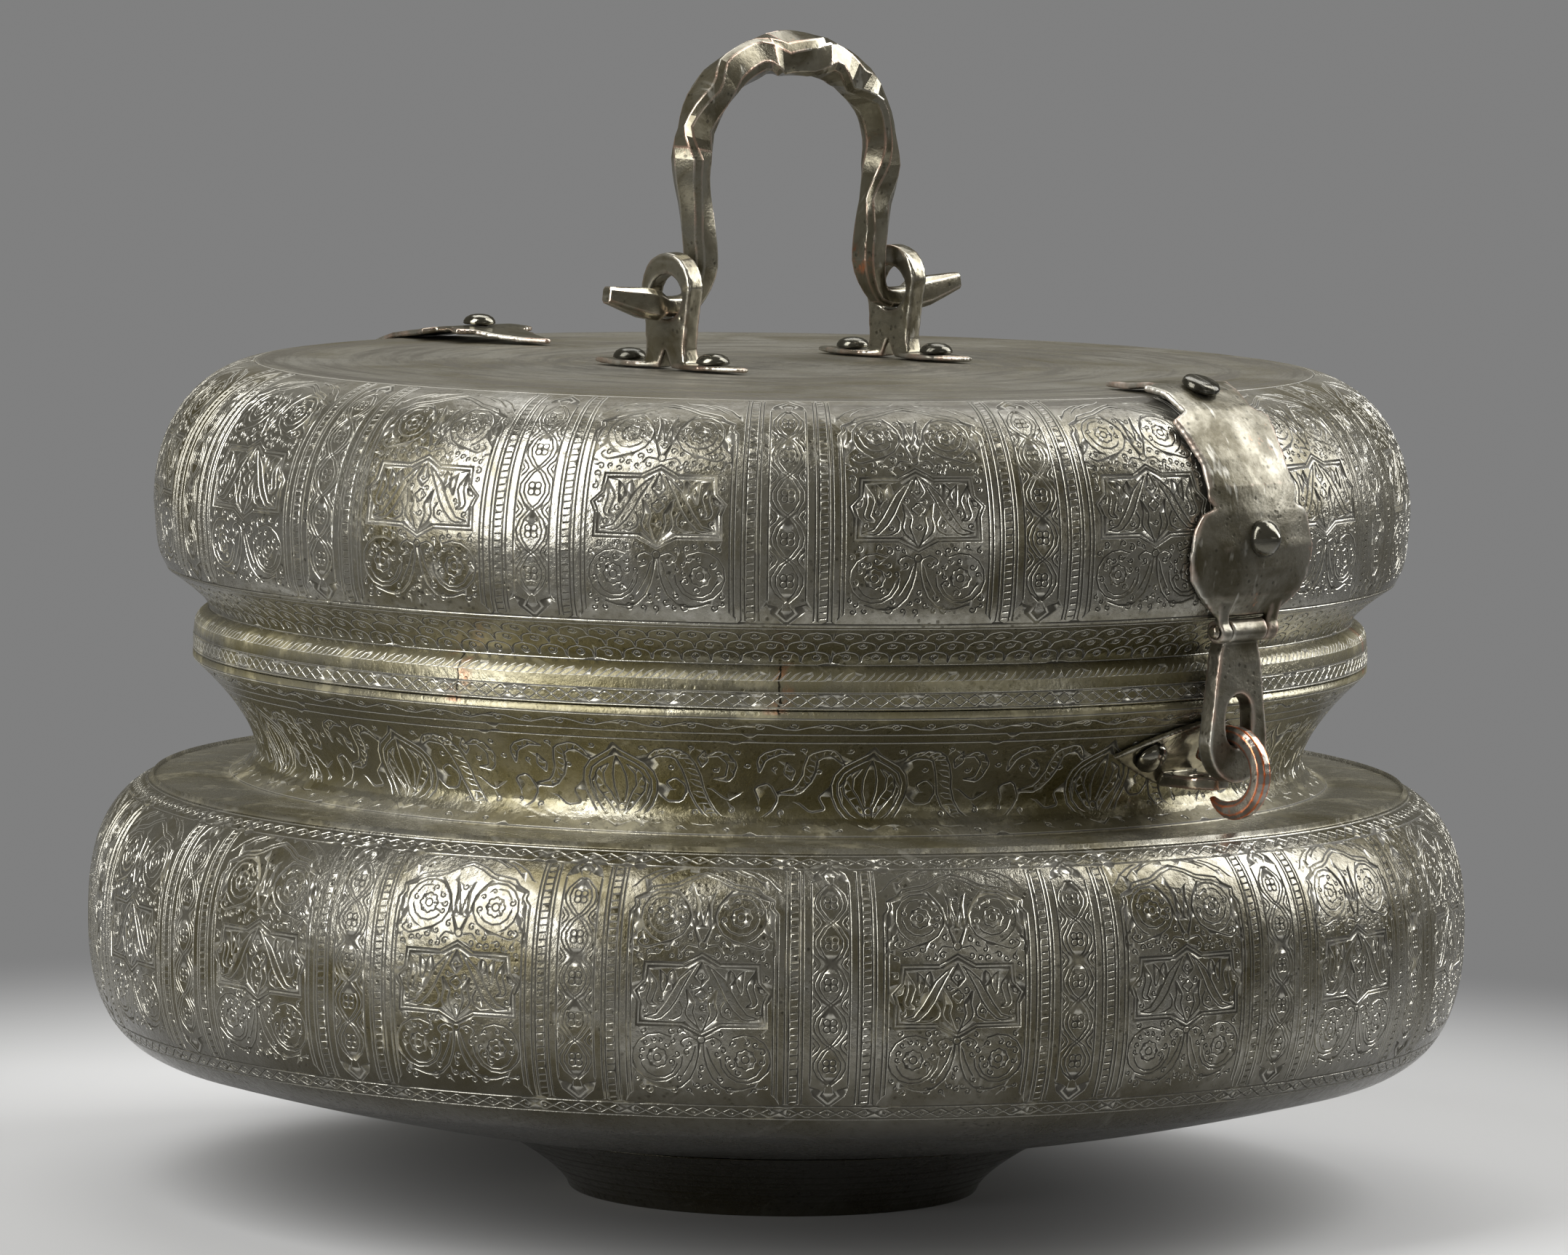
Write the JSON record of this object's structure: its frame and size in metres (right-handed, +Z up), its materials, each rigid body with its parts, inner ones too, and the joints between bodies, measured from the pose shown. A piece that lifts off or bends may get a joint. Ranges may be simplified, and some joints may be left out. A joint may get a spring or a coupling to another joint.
{
  "type": "lidded bowl",
  "caption": "Engraved copper lidded bowl on a foot ring, with a hinged domed lid, a forged bail handle and a hasp with an open ring that locks on a neck staple.",
  "frame": {"origin": "centre of the foot ring's underside, on the surface the bowl stands on", "axes": "+Z up along the bowl's turning axis, -Y towards the hasp, +Y towards the rear hinge, +X along the bail's swing axis"},
  "size_m": [0.343, 0.343, 0.2875],
  "materials": {
    "tinned_copper": "tarnished tin over copper",
    "forged_copper": "hammered and tarnished",
    "worn_copper": "worn to bare copper at its edges"
  },
  "bodies": {
    "bowl_side": {"bowl": "tinned_copper", "foot": "tinned_copper", "staple_lug": "forged_copper", "staple_rivet_1": "forged_copper", "staple_rivet_2": "forged_copper", "hinge_bowl_leaf": "forged_copper", "hinge_leaf_rivet_1": "forged_copper", "hinge_leaf_rivet_2": "forged_copper", "hinge_pin": "forged_copper"},
    "lid_side": {"lid": "tinned_copper", "hasp_plate": "forged_copper", "hasp_plate_stud": "forged_copper", "hasp_plate_rivet": "forged_copper", "hasp_pin": "forged_copper", "hinge_lid_strap": "forged_copper", "hinge_strap_rivet_1": "forged_copper", "hinge_strap_rivet_2": "forged_copper", "bail_eye_left": "forged_copper", "bail_eye_right": "forged_copper", "bail_eye_left_rivet_1": "forged_copper", "bail_eye_left_rivet_2": "forged_copper", "bail_eye_right_rivet_1": "forged_copper", "bail_eye_right_rivet_2": "forged_copper"},
    "bail": {"bail_handle": "forged_copper"},
    "hasp_strap": {"hasp": "forged_copper"},
    "ring": {"hasp_ring": "worn_copper"}
  },
  "joints": [
    {"name": "lid_open", "type": "hinge", "parent": "bowl_side", "child": "lid_side", "pos_m": [0, 0.153, 0.1363], "axis": [-1, 0, 0], "range_deg": [0, 120]},
    {"name": "bail_swing", "type": "hinge", "parent": "lid_side", "child": "bail", "pos_m": [0, 0, 0.22161], "axis": [1, 0, 0], "range_deg": [-100, 100]},
    {"name": "hasp_swing", "type": "hinge", "parent": "lid_side", "child": "hasp_strap", "pos_m": [0, -0.1536, 0.1511], "axis": [-1, 0, 0], "range_deg": [0, 130]},
    {"name": "ring_turn", "type": "hinge", "parent": "hasp_strap", "child": "ring", "pos_m": [0, -0.1511, 0.11686], "axis": [-1, 0, 0], "range_deg": [0, 50]}
  ]
}
